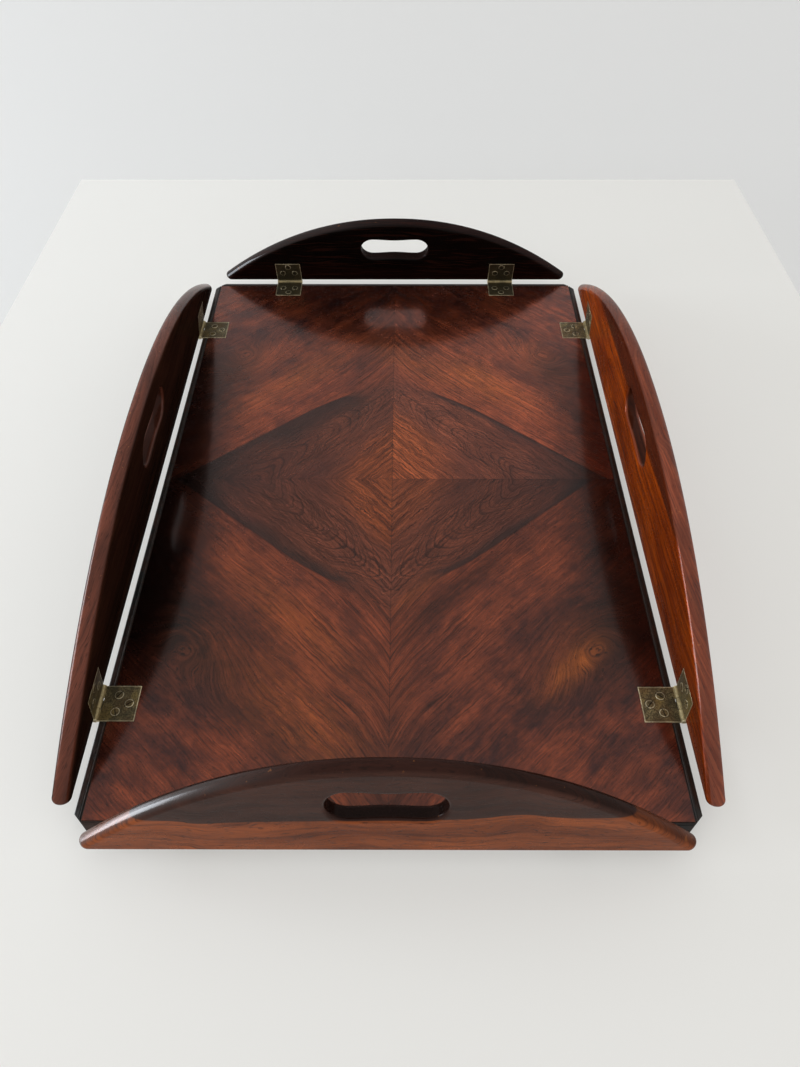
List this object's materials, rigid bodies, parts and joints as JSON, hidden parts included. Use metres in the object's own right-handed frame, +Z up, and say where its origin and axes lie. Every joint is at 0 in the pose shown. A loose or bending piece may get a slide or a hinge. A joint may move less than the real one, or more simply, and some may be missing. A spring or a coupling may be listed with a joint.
{
  "type": "folding butler's tray",
  "caption": "Rectangular veneered tray panel with hinged arched leaves on all sides that stand up as a gallery or fold out flat to make an oval top; each leaf has a hand slot.",
  "frame": {"origin": "centre of the panel's underside, where the tray stands", "axes": "+Z up, +Y along the panel's length towards the back leaf, +X to the right"},
  "size_m": [0.531, 0.7952, 0.1377],
  "materials": {
    "core_wood": "plain core wood, unpolished",
    "backing": "straight-grained backing veneer, satin",
    "figured_veneer": "quarter-matched rosewood veneer under a glossy lacquer",
    "dark_lipping": "dark moulded rosewood lipping, glossy lacquer",
    "leaf_rosewood": "solid rosewood with a heartwood line, glossy lacquer",
    "aged_brass": "dark patina with bright worn rims",
    "spring_steel": "dull"
  },
  "bodies": {
    "panel": {"base_core": "core_wood", "backing_veneer": "backing", "veneer_front_left": "figured_veneer", "veneer_front_right": "figured_veneer", "veneer_back_left": "figured_veneer", "veneer_back_right": "figured_veneer", "lipping_front": "dark_lipping", "lipping_back": "dark_lipping", "lipping_left": "dark_lipping", "lipping_right": "dark_lipping", "hinge_front_left_base_plate": "aged_brass", "hinge_front_left_pin": "aged_brass", "hinge_front_left_spring": "spring_steel", "hinge_front_right_base_plate": "aged_brass", "hinge_front_right_pin": "aged_brass", "hinge_front_right_spring": "spring_steel", "hinge_back_left_base_plate": "aged_brass", "hinge_back_left_pin": "aged_brass", "hinge_back_left_spring": "spring_steel", "hinge_back_right_base_plate": "aged_brass", "hinge_back_right_pin": "aged_brass", "hinge_back_right_spring": "spring_steel", "hinge_left_front_base_plate": "aged_brass", "hinge_left_front_pin": "aged_brass", "hinge_left_front_spring": "spring_steel", "hinge_left_back_base_plate": "aged_brass", "hinge_left_back_pin": "aged_brass", "hinge_left_back_spring": "spring_steel", "hinge_right_front_base_plate": "aged_brass", "hinge_right_front_pin": "aged_brass", "hinge_right_front_spring": "spring_steel", "hinge_right_back_base_plate": "aged_brass", "hinge_right_back_pin": "aged_brass", "hinge_right_back_spring": "spring_steel"},
    "front_leaf": {"leaf_front": "leaf_rosewood", "hinge_front_left_leaf_plate": "aged_brass", "hinge_front_right_leaf_plate": "aged_brass"},
    "back_leaf": {"leaf_back": "leaf_rosewood", "hinge_back_left_leaf_plate": "aged_brass", "hinge_back_right_leaf_plate": "aged_brass"},
    "left_leaf": {"leaf_left": "leaf_rosewood", "hinge_left_front_leaf_plate": "aged_brass", "hinge_left_back_leaf_plate": "aged_brass"},
    "right_leaf": {"leaf_right": "leaf_rosewood", "hinge_right_front_leaf_plate": "aged_brass", "hinge_right_back_leaf_plate": "aged_brass"}
  },
  "joints": [
    {"name": "front_leaf_fold", "type": "hinge", "parent": "panel", "child": "front_leaf", "pos_m": [0, -0.384, 0.016], "axis": [1, 0, 0], "range_deg": [0, 103]},
    {"name": "back_leaf_fold", "type": "hinge", "parent": "panel", "child": "back_leaf", "pos_m": [0, 0.384, 0.016], "axis": [-1, 0, 0], "range_deg": [0, 103]},
    {"name": "left_leaf_fold", "type": "hinge", "parent": "panel", "child": "left_leaf", "pos_m": [-0.251, 0, 0.016], "axis": [0, -1, 0], "range_deg": [0, 97.5]},
    {"name": "right_leaf_fold", "type": "hinge", "parent": "panel", "child": "right_leaf", "pos_m": [0.251, 0, 0.016], "axis": [0, 1, 0], "range_deg": [0, 93.5]}
  ]
}
